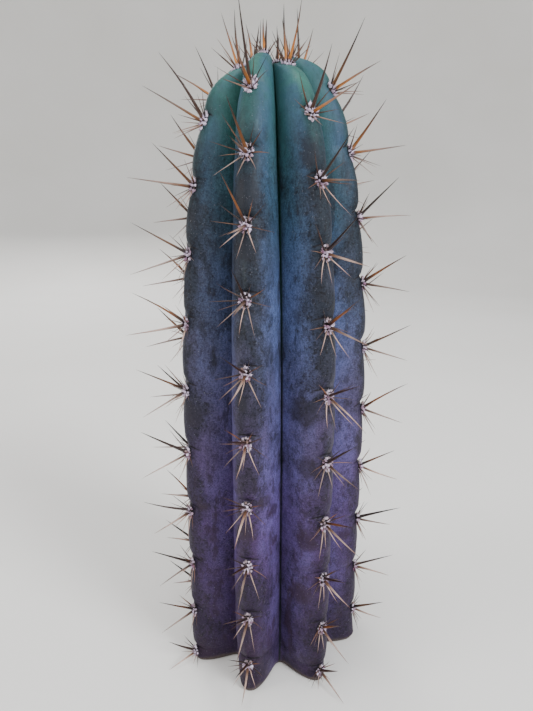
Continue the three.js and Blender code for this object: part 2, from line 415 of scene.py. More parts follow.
# Old scars and stains of the skin: rib, share across, station and radius
PATCHES = [
    (1, -0.5, 97, 5.5),
    (1, -0.45, 79, 4.6),
    (1, -0.25, 169, 4.5),
    (7, 0.2, 93, 4.8),
    (0, 0.68, 64, 2.8),
    (0, 0.72, 53, 2.2),
    (7, 0.35, 62, 2.4),
    (0, -0.1, 101, 3),
    (0, 0, 158, 6.5),
    (0, 0, 144, 4),
    (0, 0, 60, 4.5),
    (0, 0.4, 69, 3),
    (1, -0.4, 54, 4.6),
    (1, -0.5, 34, 4.5),
    (3, 0.2, 66, 3.6),
    (4, -0.4, 104, 3),
    (5, 0.35, 52, 4.4),
    (6, 0.1, 88, 2.6),
    (2, -0.5, 46, 2.8),
]
PATCH_STRETCH = 0.8
PATCH_EDGE = 1.6

# How much bloom is left on the two flanks of each rib
BLOOM_SHARES = [
    (0.8, 1),
    (1, 0.7),
    (0.9, 0.7),
    (0.8, 0.6),
    (0.6, 0.9),
    (0.9, 0.7),
    (0.5, 0.8),
    (0.45, 0.5),
]


def patches(rib, across, station):
    """How stained the skin is, from 0 to 1, on one line along the stem."""
    stain = np.zeros_like(station)
    for owner, middle, height, radius in PATCHES:
        if owner == rib:
            away = np.hypot((across - middle) * HALF_RIB_WIDTH, (station - height) * PATCH_STRETCH)
            stain = np.maximum(stain, clamp01((radius - away) / radius * PATCH_EDGE))
    return stain


def make_piece(name, points, faces, materials):
    """A smooth mesh object."""
    mesh = bpy.data.meshes.new(name)
    mesh.from_pydata(points, [], faces)
    mesh.update()
    for material in materials:
        mesh.materials.append(material)
    mesh.polygons.foreach_set("use_smooth", [True] * len(mesh.polygons))
    piece = bpy.data.objects.new(name, mesh)
    bpy.context.scene.collection.objects.link(piece)
    return piece


def band(low, high, count):
    """Quads between two closed rings of points that start at these indices, facing outward."""
    turns = [(k, (k + 1) % count) for k in range(count)]
    return [(low + k, low + after, high + after, high + k) for k, after in turns]


def turned_band(low, high, count):
    """The same quads, facing the other way."""
    return [(b, a, d, c) for a, b, c, d in band(low, high, count)]


def add_numbers(piece, name, values):
    attribute = piece.data.attributes.new(name, "FLOAT", "POINT")
    attribute.data.foreach_set("value", np.asarray(values, dtype=np.float32))


def add_colours(piece, name, colours):
    attribute = piece.data.color_attributes.new(name, "FLOAT_COLOR", "POINT")
    attribute.data.foreach_set("color", np.asarray(colours, dtype=np.float32).ravel())


def make_stem(skin, cut_face):
    """The skin from foot to tip, and the cut face under it."""
    grid, facts = build_stem()
    row_count, column_count = grid.shape[:2]
    points = list(map(tuple, grid.reshape(-1, 3)))
    faces = []
    for row in range(row_count - 1):
        low = row * column_count
        faces += band(low, low + column_count, column_count)
    tip = len(points)
    points.append((0, 0, (STEM_HEIGHT - TIP_PIT_DEPTH) * MM))
    last = (row_count - 1) * column_count
    faces += [(tip, last + i, last + (i + 1) % column_count) for i in range(column_count)]
    skin_faces = len(faces)

    # The cut face: rings that shrink to the middle, hollowed a little as it dried
    outline = grid[0]
    ring_start = 0
    for ring in range(1, FACE_RINGS):
        share = 1 - ring / FACE_RINGS
        start = len(points)
        for x, y in outline[:, :2]:
            wave = noise.noise(Vector((x, y, share)) * FACE_UNEVEN_PER_METRE)
            dip = FACE_HOLLOW * (1 - share ** FACE_HOLLOW_POWER) * (FACE_EVEN + FACE_UNEVEN * wave)
            points.append((x * share, y * share, dip * MM))
        faces += turned_band(ring_start, start, column_count)
        ring_start = start
    middle = len(points)
    points.append((0, 0, FACE_HOLLOW * MM))
    for i in range(column_count):
        faces.append((middle, ring_start + (i + 1) % column_count, ring_start + i))

    stem = make_piece("stem", points, faces, [skin, cut_face])
    for index in range(skin_faces, len(faces)):
        stem.data.polygons[index].material_index = 1
    extra = len(points) - row_count * column_count
    for name, values in facts.items():
        add_numbers(stem, name, np.concatenate([values.ravel(), np.zeros(extra)]))
    return stem


# Areoles and spines

def skin_point(rib, station):
    """The point on a rib's crest at a station."""
    return Vector(skin_line(rib, 0, np.array([float(station)]))[0])


def areole_frame(rib, station):
    """Where an areole sits and how it faces: outward, up along the crest, and to the right."""
    bearing = bearing_across(rib, 0, station)
    radial = Vector((math.sin(bearing), -math.cos(bearing), 0))
    rise = float(crest_radius(station + SLOPE_STEP) - crest_radius(station - SLOPE_STEP))
    slope = rise / (2 * SLOPE_STEP)
    along = (radial * slope + UP).normalized()
    right = UP.cross(radial).normalized()
    outward = right.cross(along).normalized()
    centre = skin_point(rib, station) - outward * CUSHION_SINK * MM
    return centre, outward, along, right


def aim(frame, clock, splay):
    """The direction at a clock angle round an areole and a splay away from its outward line."""
    outward, along, right = frame[1:]
    turn = math.radians(clock)
    tilt = math.radians(splay)
    sideways = along * math.cos(turn) + right * math.sin(turn)
    return outward * math.cos(tilt) + sideways * math.sin(tilt)


def spine_tip(frame, spine, youth, length_share, draws):
    """The same tip as the solid's spine."""
    clock, splay, length = spine[:3]
    root = frame[0] + aim(frame, clock, splay) * CUSHION_RADIUS * MM
    turned = clock + (draws[0] - 0.5) * 2 * SPINE_JITTER
    tilted = (splay + (draws[1] - 0.5) * 2 * SPINE_JITTER) * (1 - YOUNG_GATHER * youth)
    grown = length * length_share * (1 + (draws[2] - 0.5) * 2 * LENGTH_JITTER)
    direction = (aim(frame, turned, tilted) + UP * YOUNG_LIFT * youth).normalized()
    tip = root + direction * grown * MM
    tip.z = max(tip.z, LOWEST_TIP_HEIGHT * MM)
    return tip


DARK_ROOT = srgb(22, 14, 12)
MAROON = srgb(42, 22, 17)
RED_BROWN = srgb(72, 43, 24)
ORANGE_BROWN = srgb(120, 69, 24)
# Partly the young spines' own gold and partly a painted glow of light shining through them
GOLD_AND_GLOW = srgb(196, 122, 42)
TAN = srgb(112, 80, 62)
CREAM = srgb(186, 160, 148)
IVORY = srgb(158, 130, 120)

# Colours from root to tip of old and young spines of each kind
SPINE_COLOURS = {
    "upper central": ([(0, DARK_ROOT), (0.1, MAROON), (0.36, ORANGE_BROWN), (0.7, RED_BROWN),
                       (1, MAROON)],
                      [(0, CREAM), (0.06, GOLD_AND_GLOW), (0.28, ORANGE_BROWN), (0.48, RED_BROWN),
                       (0.7, DARK_ROOT)]),
    "lower central": ([(0, DARK_ROOT), (0.07, RED_BROWN), (0.18, TAN), (0.45, CREAM), (1, TAN)],
                      [(0, DARK_ROOT), (0.1, GOLD_AND_GLOW), (0.42, ORANGE_BROWN), (0.75, MAROON)]),
    "upper": ([(0, DARK_ROOT), (0.2, RED_BROWN), (0.5, ORANGE_BROWN), (1, MAROON)],
              [(0, DARK_ROOT), (0.2, MAROON), (0.5, RED_BROWN), (1, DARK_ROOT)]),
    "side": ([(0, DARK_ROOT), (0.14, RED_BROWN), (0.4, TAN), (1, TAN)],
             [(0, DARK_ROOT), (0.12, MAROON), (0.4, ORANGE_BROWN), (1, MAROON)]),
    "lower": ([(0, DARK_ROOT), (0.1, TAN), (0.25, CREAM), (0.8, IVORY), (1, TAN)],
              [(0, DARK_ROOT), (0.12, RED_BROWN), (0.35, TAN), (1, RED_BROWN)]),
}

# How far the brown ones among the spines of each kind turn dark
BROWN_SHARES = {
    "upper central": 0.95,
    "lower central": 0.15,
    "upper": 0.9,
    "side": 0.6,
    "lower": 0.15,
}


def colour_at(stops, share):
    shares, colours = zip(*stops)
    return [float(np.interp(share, shares, channel)) for channel in list(zip(*colours))[:3]]


def spine_colour(look, share):
    """The colour at a share of the way up a spine, for its kind, youth, shade and brownness."""
    kind, youth, shade, brown = look
    old, young = SPINE_COLOURS[kind]
    mixed = blend(colour_at(old, share), colour_at(young, share), youth)
    return [value * shade for value in blend(mixed, MAROON, brown)] + [1]


def grow_spine(parts, root, tip, radius, bow, look):
    """Adds one tapering, slightly bowed spine to the lists of points, faces and colours."""
    points, faces, colours = parts
    reach = tip - root
    axis = reach.normalized()
    side = axis.orthogonal().normalized()
    over = axis.cross(side)
    start = len(points)
    for share in SPINE_SHARES[:-1]:
        middle = root + reach * share + bow * math.sin(math.pi * share)
        swollen = 1 + ROOT_SWELL * math.exp(-share / ROOT_SWELL_SHARE)
        thick = radius * (1 - share) ** SPINE_TAPER_POWER * swollen
        for k in range(SPINE_SIDES):
            turn = 2 * math.pi * k / SPINE_SIDES
            points.append(middle + (side * math.cos(turn) + over * math.sin(turn)) * thick)
            colours.append(spine_colour(look, share))
    for ring in range(len(SPINE_SHARES) - 2):
        low = start + ring * SPINE_SIDES
        faces += band(low, low + SPINE_SIDES, SPINE_SIDES)
    point = len(points)
    points.append(tip)
    colours.append(spine_colour(look, 1))
    top = point - SPINE_SIDES
    for k in range(SPINE_SIDES):
        faces.append((top + k, top + (k + 1) % SPINE_SIDES, point))
    faces.append(tuple(start + k for k in reversed(range(SPINE_SIDES))))


def youth_of(station):
    """0 over the old part of the stem, rising to 1 at the growing tip."""
    return float(clamp01((station - YOUNG_FROM_STATION) / (STEM_HEIGHT - YOUNG_FROM_STATION)))


def make_spines(material):
    """All spines. The first eight of an areole end where the solid's do."""
    parts = ([], [], [])
    for rib, stations in enumerate(AREOLES):
        for index, station in enumerate(stations):
            frame = areole_frame(rib, station)
            youth = youth_of(station)
            age = 1 - station / STEM_HEIGHT
            grown = min(1, float(crest_radius(station)) / GROWN_AT_RADIUS)
            length_share = (1 - (1 - OLDEST_LENGTH_SHARE) * age ** 2) * grown
            for j, spine in enumerate(SPINES):
                clock, splay, _, root_radius, kind = spine
                draws = [draw(rib, index, j, channel) for channel in range(SPINE_CHANNELS)]
                bow_turn, bow_share, thickness = draws[3:]
                tip = spine_tip(frame, spine, youth, length_share, draws)
                root = frame[0] + aim(frame, clock, splay) * SPINE_ROOT_REACH * MM
                reach = tip - root
                sideways = reach.orthogonal().normalized()
                sideways.rotate(Matrix.Rotation(bow_turn * 2 * math.pi, 3, reach.normalized()))
                bow = sideways * reach.length * SPINE_BOW * (bow_share - BOW_OFFSET)
                radius = root_radius * MM * (THINNEST + THICKNESS_RANGE * thickness)
                shade = DARKEST_SPINE + SPINE_SHADE_RANGE * bow_share
                brown = BROWN_SHARES[kind] * float(clamp01((bow_turn - BROWN_FROM) / BROWN_SPAN))
                grow_spine(parts, root, tip, radius, bow, (kind, youth, shade, brown))
    points, faces, colours = parts
    spines = make_piece("spines", points, faces, [material])
    add_colours(spines, "spine_colour", colours)
    return spines


# Areole wool

WOOL_SEED = 41
AREOLE_HALF_WIDTH = 1.8
AREOLE_HALF_HEIGHT = 2.35

# Wool is larger on young areoles and away from the foot, and smaller again at the very tip.
WOOL_SIZE = 0.86
WOOL_YOUNG_GAIN = 0.14
WOOL_RISE_GAIN = 0.1
WOOL_RISE_STATION = 60
WOOL_TIP_SIZE = 0.4
WOOL_FULL_RADIUS = 22

# Rings of locks: how many, how far out as a share, and how high
TUFT_RINGS = [(11, 0.9, 0.65), (6, 0.5, 1.05), (3, 0.18, 1.3)]
TUFT_RADIUS = 0.4
TUFT_VARIANTS = 8
TUFT_TURN_JITTER = 0.3
TUFT_REACHES = (0.88, 1.08)
TUFT_HEIGHTS = (0.8, 1.2)
TUFT_SIZES = (0.75, 1.2)
TUFT_LEAN = 0.5
BALL_SUBDIVISIONS = 2
LUMP_DEPTH = 0.55
LUMP_SCALE = 1.9
LUMP_OFFSET = 50
LOCK_STRETCH = 1.35
LOCK_TAPER = 0.35
TUFT_HAIRS = 6
HAIR_LENGTH = 0.95
HAIR_LENGTHS = (0.7, 1.15)
HAIR_RADIUS = 0.045
HAIR_ROOT = 0.8
HAIR_LIFT = 0.6
HAIR_CURL = 0.5
WOOL = srgb(240, 226, 250)
# Painted violet shade and reflected light on the side and lower locks
WOOL_VIOLET_SHADE = srgb(132, 76, 108)
WOOL_OLD = srgb(132, 98, 78)
MOST_DUST_AND_SHADE = 0.95
YOUNG_CLEANNESS = 0.5
WOOL_SHADES = (0.7, 1.1)
OLD_ABOVE = 0.7
# Dark felt, and painted shade where it shows between the locks
FELT_AND_SHADE_DARK = srgb(22, 10, 15)
LOWEST_WOOL = 0.2
CUSHION_RINGS = [(1, 0), (0.8, 0.35), (0.45, 0.6)]
CUSHION_SIDES = 12
CUSHION_LIFT = 0.1
CUSHION_TOP = 0.8


def ball():
    """Points and triangles of a round ball of radius 1."""
    made = bmesh.new()
    bmesh.ops.create_icosphere(made, subdivisions=BALL_SUBDIVISIONS, radius=1)
    points = [vert.co.copy() for vert in made.verts]
    faces = [tuple(vert.index for vert in face.verts) for face in made.faces]
    made.free()
    return points, faces


def tuft(rng):
    """One lumpy lock of wool with short curly hairs, about as wide as a ball of radius 1."""
    core, faces = ball()
    offset = Vector([rng.uniform(-LUMP_OFFSET, LUMP_OFFSET) for _ in range(3)])
    points = []
    for point in core:
        lumpy = point * (1 + LUMP_DEPTH * noise.noise(point * LUMP_SCALE + offset))
        slim = 1 - LOCK_TAPER * max(0, lumpy.z)
        points.append(Vector((lumpy.x * slim, lumpy.y * slim, lumpy.z * LOCK_STRETCH)))
    for _ in range(TUFT_HAIRS):
        outward = Vector((rng.gauss(0, 1), rng.gauss(0, 1), abs(rng.gauss(0, 1)) + HAIR_LIFT))
        direction = outward.normalized()
        side = direction.orthogonal().normalized()
        over = direction.cross(side)
        curl = (side * rng.uniform(-1, 1) + over * rng.uniform(-1, 1)) * HAIR_CURL
        length = HAIR_LENGTH / TUFT_RADIUS * rng.uniform(*HAIR_LENGTHS)
        width = HAIR_RADIUS / TUFT_RADIUS
        start = len(points)
        for k in range(3):
            turn = 2 * math.pi * k / 3
            aside = side * math.cos(turn) + over * math.sin(turn)
            points.append(direction * HAIR_ROOT + aside * width)
        points.append(direction * length + curl)
        faces += [(start, start + 1, start + 3), (start + 1, start + 2, start + 3),
                  (start + 2, start, start + 3), (start + 2, start + 1, start)]
    return points, faces


def on_areole(frame, turn):
    """The way from an areole's middle to its edge, in millimetres."""
    along, right = frame[2:]
    return right * math.cos(turn) * AREOLE_HALF_WIDTH + along * math.sin(turn) * AREOLE_HALF_HEIGHT


def add_cushion(parts, frame, size):
    """Dark felt that the tufts and the spines' roots stand in, and painted shade between the locks."""
    points, faces, colours = parts
    centre, outward = frame[:2]
    start = len(points)
    for spread, height in CUSHION_RINGS:
        for k in range(CUSHION_SIDES):
            turn = 2 * math.pi * k / CUSHION_SIDES
            place = on_areole(frame, turn)
            points.append(centre + (place * spread * size + outward * (height + CUSHION_LIFT)) * MM)
    top = len(points)
    points.append(centre + outward * CUSHION_TOP * MM)
    for ring in range(len(CUSHION_RINGS) - 1):
        low = start + ring * CUSHION_SIDES
        faces += band(low, low + CUSHION_SIDES, CUSHION_SIDES)
    inner = top - CUSHION_SIDES
    for k in range(CUSHION_SIDES):
        faces.append((inner + k, inner + (k + 1) % CUSHION_SIDES, top))
    faces.append(tuple(start + k for k in reversed(range(CUSHION_SIDES))))
    colours += [FELT_AND_SHADE_DARK] * (top + 1 - start)


def wool_colour(rng, turn, youth):
    """A drawn colour of a lock: brown dust at the top of an areole, painted violet shade elsewhere."""
    dust_and_shade = rng.uniform(0, MOST_DUST_AND_SHADE) * (1 - YOUNG_CLEANNESS * youth)
    shade = rng.uniform(*WOOL_SHADES)
    dust_and_shade_colour = WOOL_OLD if math.sin(turn) > OLD_ABOVE else WOOL_VIOLET_SHADE
    return [value * shade for value in blend(WOOL[:3], dust_and_shade_colour[:3], dust_and_shade)] + [1]


def make_wool(material):
    """A cushion of felt on every areole, with locks of wool on it."""
    rng = random.Random(WOOL_SEED)
    variants = [tuft(rng) for _ in range(TUFT_VARIANTS)]
    parts = ([], [], [])
    points, faces, colours = parts
    for rib, stations in enumerate(AREOLES):
        for station in stations:
            frame = areole_frame(rib, station)
            centre, outward = frame[:2]
            youth = youth_of(station)
            risen = min(1, station / WOOL_RISE_STATION)
            size = WOOL_SIZE + WOOL_YOUNG_GAIN * youth + WOOL_RISE_GAIN * risen
            size *= min(1, WOOL_TIP_SIZE + float(crest_radius(station)) / WOOL_FULL_RADIUS)
            add_cushion(parts, frame, size)
            for count, spread, height in TUFT_RINGS:
                for k in range(count):
                    jitter = rng.uniform(-TUFT_TURN_JITTER, TUFT_TURN_JITTER)
                    turn = 2 * math.pi * (k + jitter) / count
                    reach = spread * rng.uniform(*TUFT_REACHES) * size
                    place = on_areole(frame, turn)
                    raised = outward * height * rng.uniform(*TUFT_HEIGHTS)
                    middle = centre + (place * reach + raised) * MM
                    facing = (outward + place * TUFT_LEAN * spread).normalized()
                    across = facing.orthogonal().normalized()
                    across.rotate(Matrix.Rotation(rng.uniform(0, 2 * math.pi), 3, facing))
                    over = facing.cross(across)
                    radius = TUFT_RADIUS * rng.uniform(*TUFT_SIZES) * size * MM
                    model, model_faces = rng.choice(variants)
                    start = len(points)
                    for point in model:
                        turned = across * point.x + over * point.y + facing * point.z
                        lock = middle + turned * radius
                        lock.z = max(lock.z, LOWEST_WOOL * MM)
                        points.append(lock)
                    faces += [tuple(start + i for i in face) for face in model_faces]
                    colours += [wool_colour(rng, turn, youth)] * len(model)
    wool = make_piece("areole_wool", points, faces, [material])
    add_colours(wool, "wool_colour", colours)
    return wool


# Materials

# The colour sockets of a mix node go by number, because its other sockets share their names.
MIX_FIRST = 6
MIX_SECOND = 7
MIX_RESULT = 2


class Nodes:
    """A material's nodes, added and linked by short calls."""

    def __init__(self, name):
        self.material = bpy.data.materials.new(name)
        self.material.use_nodes = True
        self.tree = self.material.node_tree
        self.shader = self.tree.nodes["Principled BSDF"]

    def add(self, kind, values=(), **settings):
        node = self.tree.nodes.new(kind)
        for name, value in settings.items():
            setattr(node, name, value)
        for socket, value in dict(values).items():
            self.put(node.inputs[socket], value)
        return node

    def put(self, socket, value):
        if isinstance(value, bpy.types.NodeSocket):
            self.tree.links.new(value, socket)
        else:
            socket.default_value = value

    def place(self):
        return self.add("ShaderNodeTexCoord").outputs["Object"]

    def stretched(self, vector, scale):
        return self.add("ShaderNodeMapping", {"Vector": vector, "Scale": scale}).outputs["Vector"]

    def noise(self, vector, scale, detail, roughness=0.55, distortion=0):
        made = self.add("ShaderNodeTexNoise", {"Vector": vector, "Scale": scale, "Detail": detail,
                                               "Roughness": roughness, "Distortion": distortion})
        return made.outputs["Fac"]

    def math(self, operation, first, second=0.0, clamp=False):
        made = self.add("ShaderNodeMath", operation=operation, use_clamp=clamp)
        self.put(made.inputs[0], first)
        self.put(made.inputs[1], second)
        return made.outputs[0]

    def steps(self, value, low, high, to_low=0.0, to_high=1.0):
        made = self.add("ShaderNodeMapRange", {"Value": value, "From Min": low, "From Max": high,
                                               "To Min": to_low, "To Max": to_high},
                        interpolation_type="SMOOTHSTEP")
        return made.outputs["Result"]

    def pattern(self, vector, texture, steps):
        """A noise between two levels: scale and so on, then the levels and what they give."""
        return self.steps(self.noise(vector, *texture), *steps)

    def ramp(self, value, stops):
        made = self.add("ShaderNodeValToRGB", {"Fac": value})
        elements = made.color_ramp.elements
        while len(elements) < len(stops):
            elements.new(0.5)
        for element, (place, colour) in zip(elements, stops):
            element.position = place
            element.color = colour
        return made.outputs["Color"]

    def mix(self, share, first, second, blend="MIX"):
        made = self.add("ShaderNodeMix", data_type="RGBA", blend_type=blend)
        self.put(made.inputs[0], share)
        self.put(made.inputs[MIX_FIRST], first)
        self.put(made.inputs[MIX_SECOND], second)
        return made.outputs[MIX_RESULT]

    def darkened(self, share, colour, shade):
        return self.mix(share, colour, shade, "MULTIPLY")

    def number(self, name):
        return self.add("ShaderNodeAttribute", attribute_name=name).outputs["Fac"]

    def colour(self, name):
        return self.add("ShaderNodeAttribute", attribute_name=name).outputs["Color"]

    def bump(self, height, distance, strength, normal=None):
        """A rise of the surface in metres, over another one if its normal is given."""
        made = self.add("ShaderNodeBump", {"Height": height, "Distance": distance,
                                           "Strength": strength})
        if normal:
            self.put(made.inputs["Normal"], normal)
        return made.outputs["Normal"]

    def finish(self, **sockets):
        """Sets or links the shader's own sockets and gives the material."""
        for name, value in sockets.items():
            self.put(self.shader.inputs[name.replace("_", " ")], value)
        return self.material


# Skin colours by share of SKIN_SPAN above the foot. Towards the foot this ramp and the next three
# # turn violet, a painted reflection of purple light from below, and the crown's light teal is
# # partly the young skin's own green and partly painted highlight.
SKIN_SPAN = 0.2
SKIN_HEIGHTS = [
    (0.0, srgb(46, 29, 48)),
    (0.12, srgb(56, 35, 66)),
    (0.3, srgb(73, 51, 93)),
    (0.45, srgb(74, 62, 92)),
    (0.6, srgb(62, 64, 84)),
    (0.74, srgb(50, 54, 68)),
    (0.84, srgb(40, 59, 69)),
    (0.92, srgb(46, 86, 83)),
    (1.0, srgb(70, 130, 114)),
]
BLOOM_HEIGHTS = [
    (0, srgb(66, 50, 88)),
    (0.32, srgb(100, 87, 146)),
    (0.62, srgb(86, 101, 146)),
    (0.76, srgb(62, 86, 120)),
]
CREST_HEIGHTS = [
    (0.1, srgb(38, 29, 50)),
    (0.35, srgb(40, 34, 50)),
    (0.55, srgb(31, 36, 46)),
    (0.9, srgb(27, 40, 48)),
]
BLOTCH_HEIGHTS = [(0.25, srgb(46, 31, 48)), (0.55, srgb(31, 33, 41))]
# Painted shade in the grooves, by share of SKIN_SPAN
GROOVE_SHADE_HEIGHTS = [(0.55, srgb(14, 30, 28)), (0.85, srgb(20, 74, 58))]
GROOVE_GREEN = srgb(44, 90, 78)
# A painted pale highlight, streaked along the crests
CREST_HIGHLIGHT = srgb(92, 104, 102)
# Dark specks, and the painted shadow in the folds
SPECK_AND_SHADOW = srgb(20, 16, 22)
FLECK = srgb(112, 112, 124)
CALLUS = srgb(86, 76, 70)
GRAIN_SHADE = (0.62, 0.64, 0.67, 1)
DASH_SHADE = (0.5, 0.5, 0.54, 1)

# How far the patterns are drawn out along the stem
ALONG = (1, 1, 0.7)
STROKED = (1, 1, 0.33)
STREAKED = (1, 1, 0.2)

# Patterns: scale, detail, roughness and distortion, then the two levels and what they give
CLOUDS = (80, 8, 0.7, 0.4), (0.38, 0.62, 0.2, 0.7)
MOTTLE = (300, 6, 0.75), (0.5, 0.6, 0, 0.66)
PEPPER = (1200, 3, 0.6), (0.52, 0.61, 0, 0.85)
GRAIN = (2100, 2, 0.6), (0.4, 0.62)
STAINS = (250, 4, 0.6, 0.3), (0.58, 0.63, 0, 0.6)
DASHES = (1300, 3, 0.6), (0.52, 0.72, 0, 0.42)
CREST_HIGHLIGHT_STREAKS = (130, 3), (0.5, 0.7, 0, 0.15)
SPARSE = (140, 2), (0.42, 0.58)
SPECKS = (1500, 2, 0.5), (0.66, 0.71, 0, 0.75)
FLECKS = (2300, 1, 0.5), (0.71, 0.75, 0, 0.5)
SKIN_ROUGHNESS = (240, 4), (0.3, 0.7, 0.46, 0.66)
DRIFT_NOISE = (55, 4)
WEATHER_NOISE = (60, 10, 0.72, 0.3)
SCAR_NOISE = (420, 5, 0.65)
RIM_NOISE = (350, 3)
DENT_NOISE = (420, 4, 0.6)
GRAIN_NOISE = (2600, 3, 0.6)

# Levels by the share across a rib, from its crest at 0 to the groove at 1
FLANK_INNER = (0.12, 0.45)
FLANK_OUTER = (1, 0.92)
# Painted light that brightens the flanks towards the grooves
GROOVE_SIDE_LIGHT = (0.4, 0.85, 0, 0.35)
GREEN_ACROSS = (0.3, 0.9, 0, 0.7)
CREST_BIAS = (0.75, 0, -0.08, 0.07)
MOTTLE_ACROSS = (0.95, 0.2, 0.45, 1)
STAIN_ACROSS = (0.35, 0.65)
GROOVE_SHADE_ACROSS = (0.94, 0.992, 0, 0.8)
RIDGE_ACROSS = (0.1, 0.02)

# Levels by height in metres
AGED = (0.156, 0.188, 1, 0.15)
YOUNG = (0.13, 0.185)
RIM = (0.0022, 0.0038, 0.8, 0)
DRIFT = 0.05
RIM_DRIFT = 0.003

# Levels of the other values that the skin is coloured by
WORN = (0.4, 0.6, 0, 0.78)
PEPPER_ON_WORN = 0.9
PEPPER_ELSEWHERE = 0.22
SCAR_RAGGEDNESS = 1.3
SCAR = (-0.35, 0.3, 0, 0.72)
PATCH_FADE = (0, 0.5)
# Levels of the painted shadow in the folds
FOLD_SHADOW = (0.12, 0.55, 0, 0.9)
RIM_ROUGHNESS = 0.25

# Bumps: height in metres and strength
DENTS = (0.0005, 0.6)
FINE_GRAIN = (0.0001, 0.7)


def skin_material():
    """Waxy skin: blue bloom on the flanks, worn and darkly mottled over the crests."""
    nodes = Nodes("cactus_skin")
    place = nodes.place()
    height = nodes.add("ShaderNodeSeparateXYZ", {"Vector": place}).outputs["Z"]
    height_share = nodes.math("DIVIDE", height, SKIN_SPAN)
    along = nodes.stretched(place, ALONG)
    streaked = nodes.stretched(place, STREAKED)
    across = nodes.number("across")
    age = nodes.steps(height, *AGED)

    drift = nodes.math("SUBTRACT", nodes.noise(along, *DRIFT_NOISE), 0.5)
    drifted = nodes.math("ADD", height, nodes.math("MULTIPLY", drift, DRIFT))
    colour = nodes.ramp(nodes.math("DIVIDE", drifted, SKIN_SPAN), SKIN_HEIGHTS)

    # Bloom lies in clouds on the flanks, brightened towards the grooves by painted light against
    #     # their shade, and young grooves stay green.
    flank = nodes.math("MULTIPLY", nodes.steps(across, *FLANK_INNER), nodes.steps(across, *FLANK_OUTER))
    cloud = nodes.math("ADD", nodes.pattern(along, *CLOUDS), nodes.steps(across, *GROOVE_SIDE_LIGHT), True)
    cloud = nodes.math("MULTIPLY", cloud, nodes.number("bloom"))
    bloom = nodes.ramp(height_share, BLOOM_HEIGHTS)
    colour = nodes.mix(nodes.math("MULTIPLY", cloud, flank), colour, bloom)
    green = nodes.math("MULTIPLY", nodes.steps(height, *YOUNG), nodes.steps(across, *GREEN_ACROSS))
    colour = nodes.mix(green, colour, GROOVE_GREEN)

    # Dark weathering, heaviest on the crests, with ragged edges and peppered with spots
    weather = nodes.math("ADD", nodes.noise(along, *WEATHER_NOISE), nodes.steps(across, *CREST_BIAS))
    worn = nodes.math("MULTIPLY", nodes.steps(weather, *WORN), age)
    colour = nodes.mix(worn, colour, nodes.ramp(height_share, CREST_HEIGHTS))
    mottle = nodes.math("MULTIPLY", nodes.pattern(along, *MOTTLE), nodes.steps(across, *MOTTLE_ACROSS))
    blotch = nodes.ramp(height_share, BLOTCH_HEIGHTS)
    colour = nodes.mix(nodes.math("MULTIPLY", mottle, age), colour, blotch)
    peppered = nodes.math("MULTIPLY", worn, PEPPER_ON_WORN)
    peppered = nodes.math("ADD", peppered, PEPPER_ELSEWHERE, True)
    pepper = nodes.math("MULTIPLY", nodes.pattern(place, *PEPPER), peppered)
    colour = nodes.mix(nodes.math("MULTIPLY", pepper, age), colour, SPECK_AND_SHADOW)
    grainy = nodes.math("MULTIPLY", nodes.pattern(place, *GRAIN), age)
    colour = nodes.darkened(grainy, colour, GRAIN_SHADE)

    # Long stains beside the grooves, and fine dashes that run with the growth
    stain = nodes.pattern(nodes.stretched(place, STROKED), *STAINS)
    stain = nodes.math("MULTIPLY", stain, nodes.steps(across, *STAIN_ACROSS))
    colour = nodes.mix(nodes.math("MULTIPLY", stain, age), colour, blotch)
    colour = nodes.darkened(nodes.pattern(streaked, *DASHES), colour, DASH_SHADE)

    # Painted shade along the grooves, and a painted pale highlight in streaks along the crests
    groove = nodes.ramp(height_share, GROOVE_SHADE_HEIGHTS)
    colour = nodes.mix(nodes.steps(across, *GROOVE_SHADE_ACROSS), colour, groove)
    ridge = nodes.steps(across, *RIDGE_ACROSS)
    crest_highlight = nodes.math("MULTIPLY", ridge, nodes.pattern(streaked, *CREST_HIGHLIGHT_STREAKS))
    colour = nodes.mix(crest_highlight, colour, CREST_HIGHLIGHT)

    # Scars with ragged edges, the painted shadow in each fold, and specks and flecks
    patch = nodes.number("patch")
    ragged = nodes.math("MULTIPLY", nodes.noise(place, *SCAR_NOISE), SCAR_RAGGEDNESS)
    scar = nodes.steps(nodes.math("SUBTRACT", patch, ragged), *SCAR)
    scar = nodes.math("MULTIPLY", scar, nodes.steps(patch, *PATCH_FADE))
    colour = nodes.mix(scar, colour, blotch)
    colour = nodes.mix(nodes.steps(nodes.number("crease"), *FOLD_SHADOW), colour, SPECK_AND_SHADOW)
    specks = nodes.math("MULTIPLY", nodes.pattern(along, *SPECKS), age)
    specks = nodes.math("MULTIPLY", specks, nodes.pattern(place, *SPARSE))
    colour = nodes.mix(specks, colour, SPECK_AND_SHADOW)
    colour = nodes.mix(nodes.pattern(place, *FLECKS), colour, FLECK)

    # The callused rim of the cut
    rim_drift = nodes.math("MULTIPLY", nodes.noise(place, *RIM_NOISE), RIM_DRIFT)
    rim = nodes.steps(nodes.math("ADD", height, rim_drift), *RIM)
    colour = nodes.mix(rim, colour, CALLUS)

    normal = nodes.bump(nodes.noise(along, *DENT_NOISE), *DENTS)
    normal = nodes.bump(nodes.noise(place, *GRAIN_NOISE), *FINE_GRAIN, normal)
    rough = nodes.pattern(along, *SKIN_ROUGHNESS)
    rough = nodes.math("ADD", rough, nodes.math("MULTIPLY", rim, RIM_ROUGHNESS), True)
    return nodes.finish(Base_Color=colour, Roughness=rough, Normal=normal, Specular_IOR_Level=0.2)


FACE_PITH = srgb(196, 184, 152)
FACE_FLESH = srgb(158, 150, 116)
FACE_WOOD = srgb(122, 96, 66)
FACE_EDGE = srgb(96, 84, 64)

